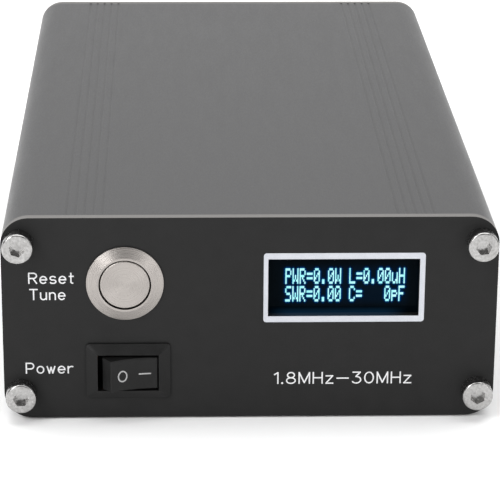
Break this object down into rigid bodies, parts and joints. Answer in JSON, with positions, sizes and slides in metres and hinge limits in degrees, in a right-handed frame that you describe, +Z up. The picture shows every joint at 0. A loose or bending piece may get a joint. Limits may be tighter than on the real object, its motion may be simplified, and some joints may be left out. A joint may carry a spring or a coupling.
{
  "type": "antenna tuner",
  "caption": "Desk-top automatic antenna tuner in an extruded aluminium case, with push button, rocker switch, small display, two coaxial sockets, ground post and supply lead.",
  "frame": {"origin": "centre of the flat bottom of the case", "axes": "+Z up, front panel faces -Y, +X to the right as seen from the front"},
  "size_m": [0.0909, 0.2799, 0.038],
  "materials": {
    "black_anodised": "black anodised extrusion, fine drawn grain",
    "panel_black": "matt black solder-masked glass-fibre plate with light printed legends",
    "steel": "nickel-plated steel",
    "brushed_steel": "turned stainless steel, concentric brushing",
    "rubber": "soft black",
    "nickel": "bright nickel plate",
    "black_plastic": "moulded black",
    "switch_plastic": "satin black moulding",
    "brass": "plain brass",
    "copper": "enamelled or plain copper",
    "display_glass": "dark display glass with a lit cyan readout",
    "board_blue": "blue solder mask",
    "board_green": "green solder mask",
    "relay_blue": "blue relay case",
    "iron_red": "painted iron powder",
    "ferrite": "bare ferrite",
    "can_aluminium": "sleeved can",
    "ceramic": "tan ceramic chip",
    "white_plastic": "cream nylon",
    "wire_red": "coloured hook-up wire",
    "ptfe": "white insulator",
    "cable_black": "soft black jacket"
  },
  "bodies": {
    "case": {"case_top": "black_anodised", "case_bottom": "black_anodised", "front_panel": "panel_black", "rear_panel": "panel_black", "front_panel_screws": "steel", "rear_panel_screws": "steel", "tune_button_body": "brushed_steel", "tune_button_spring": "steel", "tune_button_seal": "rubber", "tune_button_nut": "nickel", "tune_button_base": "black_plastic", "tune_button_terminals": "brass", "power_switch_body": "switch_plastic", "power_switch_terminals": "brass", "display_gasket": "rubber", "display_glass": "display_glass", "display_board": "board_blue", "display_pins": "black_plastic", "main_board": "board_green", "inductor_relays": "relay_blue", "capacitor_relays": "relay_blue", "network_relay": "relay_blue", "air_coils": "copper", "toroid_cores": "iron_red", "toroid_windings": "copper", "bridge_cores": "ferrite", "bridge_windings": "copper", "microcontroller": "black_plastic", "relay_drivers": "black_plastic", "voltage_regulator": "black_plastic", "electrolytic_capacitors": "can_aluminium", "tuning_capacitors": "ceramic", "small_parts": "black_plastic", "board_connectors": "white_plastic", "panel_wires": "wire_red", "rf_leads": "copper", "input_socket_shell": "nickel", "antenna_socket_shell": "nickel", "input_socket_insulator": "ptfe", "antenna_socket_insulator": "ptfe", "input_socket_contact": "brass", "antenna_socket_contact": "brass", "socket_screws": "steel", "socket_nuts": "steel", "ground_stud": "brass", "ground_nuts": "nickel", "dc_jack_body": "black_plastic", "dc_jack_pin": "nickel", "dc_jack_nut": "nickel", "lead_plug": "nickel", "lead_plug_body": "cable_black", "lead_cord": "cable_black", "lead_hank": "cable_black", "lead_tie": "cable_black", "lead_wire_ends": "wire_red"},
    "tune_button": {"tune_button_cap": "brushed_steel"},
    "power_rocker": {"power_switch_rocker": "switch_plastic"},
    "power_lever": {"power_switch_lever": "copper"},
    "ground_slider": {"ground_washer": "nickel"},
    "ground_knob": {"ground_thumb_nut": "nickel"}
  },
  "joints": [
    {"name": "tune_press", "type": "slide", "parent": "case", "child": "tune_button", "axis": [0, 1, 0], "range_m": [0, 0.0015], "stiffness_N_per_m": 1500, "deforming": ["tune_button_spring"]},
    {"name": "power_rock", "type": "hinge", "parent": "case", "child": "power_rocker", "pos_m": [-0.02175, -0.0744, 0.00915], "axis": [0, 0, -1], "range_deg": [0, 26]},
    {"name": "power_contact", "type": "hinge", "parent": "case", "child": "power_lever", "pos_m": [-0.02175, -0.0698, 0.00915], "axis": [0, 0, 1], "range_deg": [0, 16]},
    {"name": "ground_travel", "type": "slide", "parent": "case", "child": "ground_slider", "axis": [0, 1, 0], "range_m": [0, 0.0032]},
    {"name": "ground_turn", "type": "hinge", "parent": "ground_slider", "child": "ground_knob", "pos_m": [0, 0.0847, 0.01], "axis": [0, 1, 0], "range_deg": [0, 1440]}
  ],
  "couplings": [
    {"joint": "power_contact", "follows": "power_rock", "ratio": 0.61538},
    {"joint": "ground_turn", "follows": "ground_travel", "rad_per_m": 7854}
  ]
}
